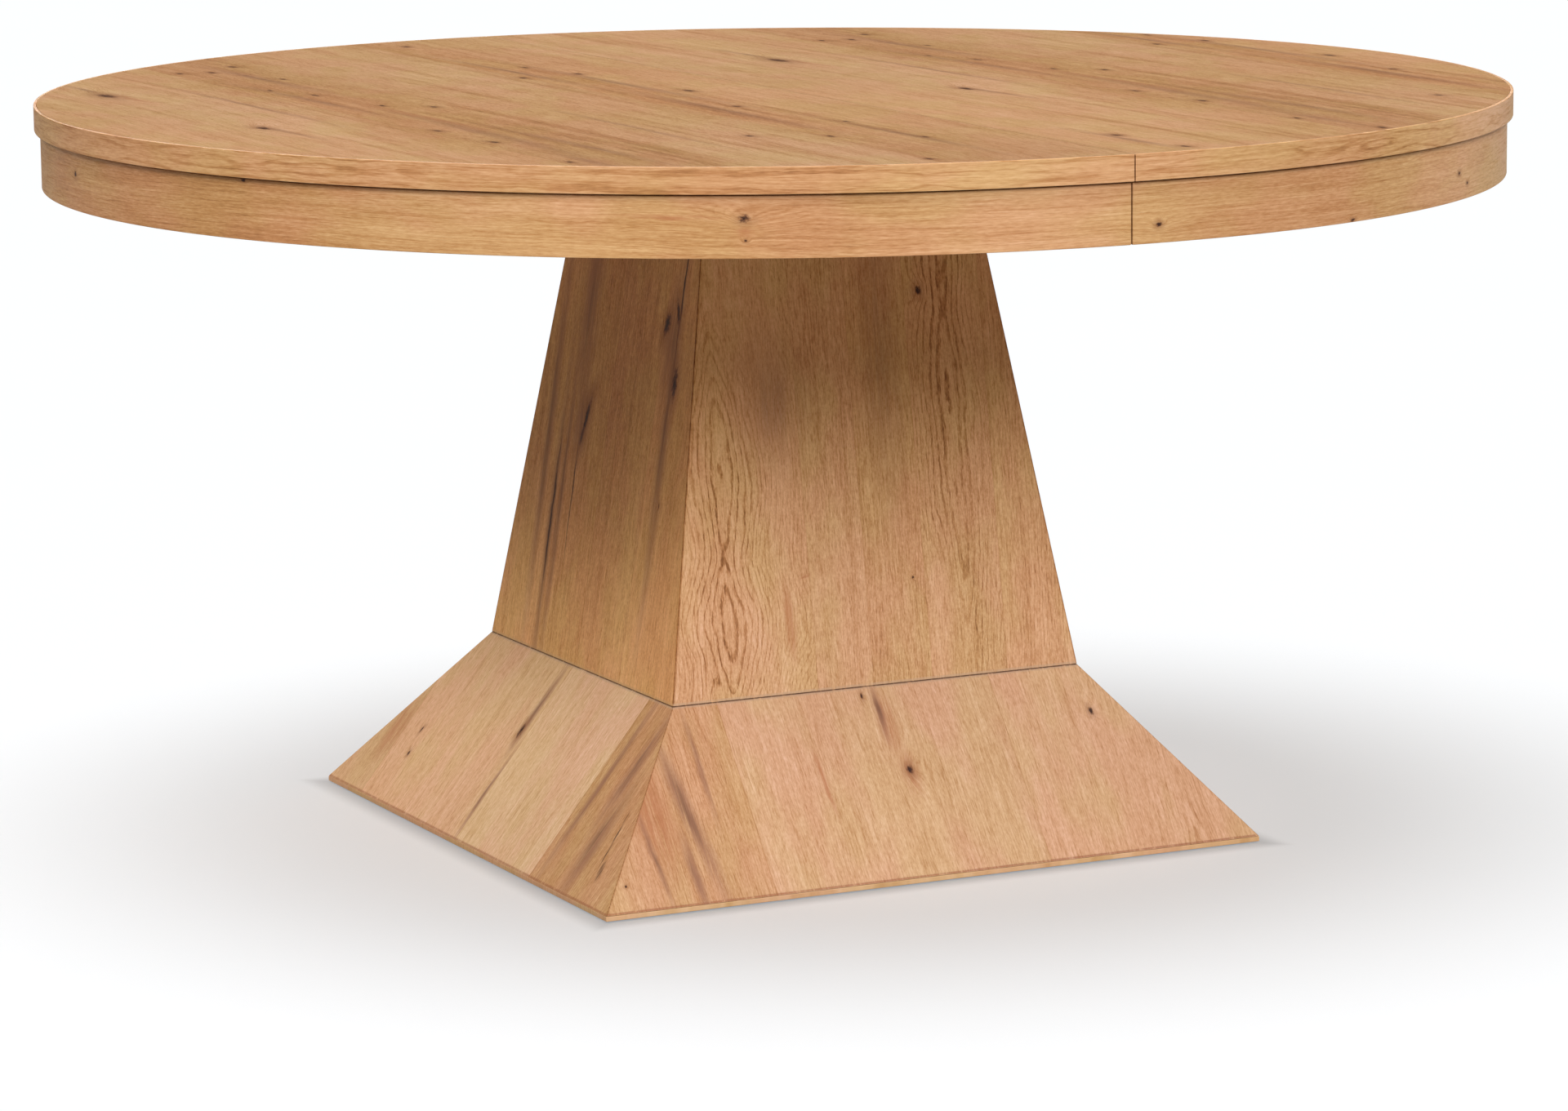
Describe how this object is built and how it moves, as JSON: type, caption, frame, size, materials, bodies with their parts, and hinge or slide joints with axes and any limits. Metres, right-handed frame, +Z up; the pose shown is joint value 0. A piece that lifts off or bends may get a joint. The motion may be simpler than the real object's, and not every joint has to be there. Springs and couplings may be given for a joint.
{
  "type": "round extension dining table",
  "caption": "Round split-top dining table on a square flared pedestal; the half tops slide apart on geared wooden slides for a leaf.",
  "frame": {"origin": "on the floor under the table's axis", "axes": "+Z up, front faces -Y, the half tops part along X with the left half at -X"},
  "size_m": [1.524, 1.524, 0.7684],
  "materials": {
    "top_oak": "satin oak veneer, grain parallel to the seam",
    "edge_oak": "satin oak veneer, grain along the edge",
    "pedestal_oak": "satin rustic oak veneer with knots and dark streaks",
    "frame_wood": "planed, unfinished",
    "plywood": "sanded, unfinished",
    "beech": "waxed",
    "steel": "zinc plated",
    "nylon": "natural moulded"
  },
  "bodies": {
    "pedestal": {"plinth_board": "edge_oak", "column_panel_front": "pedestal_oak", "column_panel_right": "pedestal_oak", "column_panel_back": "pedestal_oak", "column_panel_left": "pedestal_oak", "base_panel_front": "pedestal_oak", "base_panel_right": "pedestal_oak", "base_panel_back": "pedestal_oak", "base_panel_left": "pedestal_oak", "column_post_front_left": "frame_wood", "column_post_front_right": "frame_wood", "column_post_back_right": "frame_wood", "column_post_back_left": "frame_wood", "mounting_platform": "plywood", "column_cap": "plywood", "waist_deck": "plywood", "base_rib_front": "plywood", "base_rib_right": "plywood", "base_rib_back": "plywood", "base_rib_left": "plywood", "centre_beam_front": "beech", "centre_beam_rear": "beech", "pinion_axle": "steel", "pinion_washer": "steel", "platform_screw_front_left": "steel", "platform_screw_front_right": "steel", "platform_screw_back_right": "steel", "platform_screw_back_left": "steel", "floor_glide_front_left": "nylon", "floor_glide_front_right": "nylon", "floor_glide_back_right": "nylon", "floor_glide_back_left": "nylon"},
    "left_half": {"tabletop_left": "top_oak", "edge_band_left": "edge_oak", "apron_left": "edge_oak", "end_batten_left": "frame_wood", "slide_rail_left_front": "beech", "slide_rail_left_rear": "beech", "rack_carrier_left": "beech", "rack_left": "nylon", "alignment_dowel_1": "beech", "alignment_dowel_2": "beech", "alignment_dowel_3": "beech", "alignment_dowel_4": "beech", "lock_base_front": "steel", "lock_base_rear": "steel"},
    "right_half": {"tabletop_right": "top_oak", "edge_band_right": "edge_oak", "apron_right": "edge_oak", "end_batten_right": "frame_wood", "slide_rail_right_front": "beech", "slide_rail_right_rear": "beech", "rack_carrier_right": "beech", "rack_right": "nylon", "lock_keeper_front": "steel", "lock_keeper_rear": "steel"},
    "pinion": {"pinion_gear": "nylon"},
    "lock_front": {"lock_lever_front": "steel"},
    "lock_rear": {"lock_lever_rear": "steel"}
  },
  "joints": [
    {"name": "left_half_slide", "type": "slide", "parent": "pedestal", "child": "left_half", "axis": [-1, 0, 0], "range_m": [0, 0.241]},
    {"name": "right_half_slide", "type": "slide", "parent": "pedestal", "child": "right_half", "axis": [1, 0, 0], "range_m": [0, 0.241]},
    {"name": "pinion_turn", "type": "hinge", "parent": "pedestal", "child": "pinion", "pos_m": [0, 0, 0.7156], "axis": [0, 0, 1], "range_deg": [0, 576]},
    {"name": "lock_front_turn", "type": "hinge", "parent": "left_half", "child": "lock_front", "pos_m": [-0.032, -0.48, 0.7376], "axis": [0, 0, 1], "range_deg": [0, 90]},
    {"name": "lock_rear_turn", "type": "hinge", "parent": "left_half", "child": "lock_rear", "pos_m": [-0.032, 0.48, 0.7376], "axis": [0, 0, 1], "range_deg": [0, 90]}
  ],
  "couplings": [
    {"joint": "right_half_slide", "follows": "left_half_slide", "ratio": 1},
    {"joint": "pinion_turn", "follows": "left_half_slide", "rad_per_m": 41.667}
  ]
}
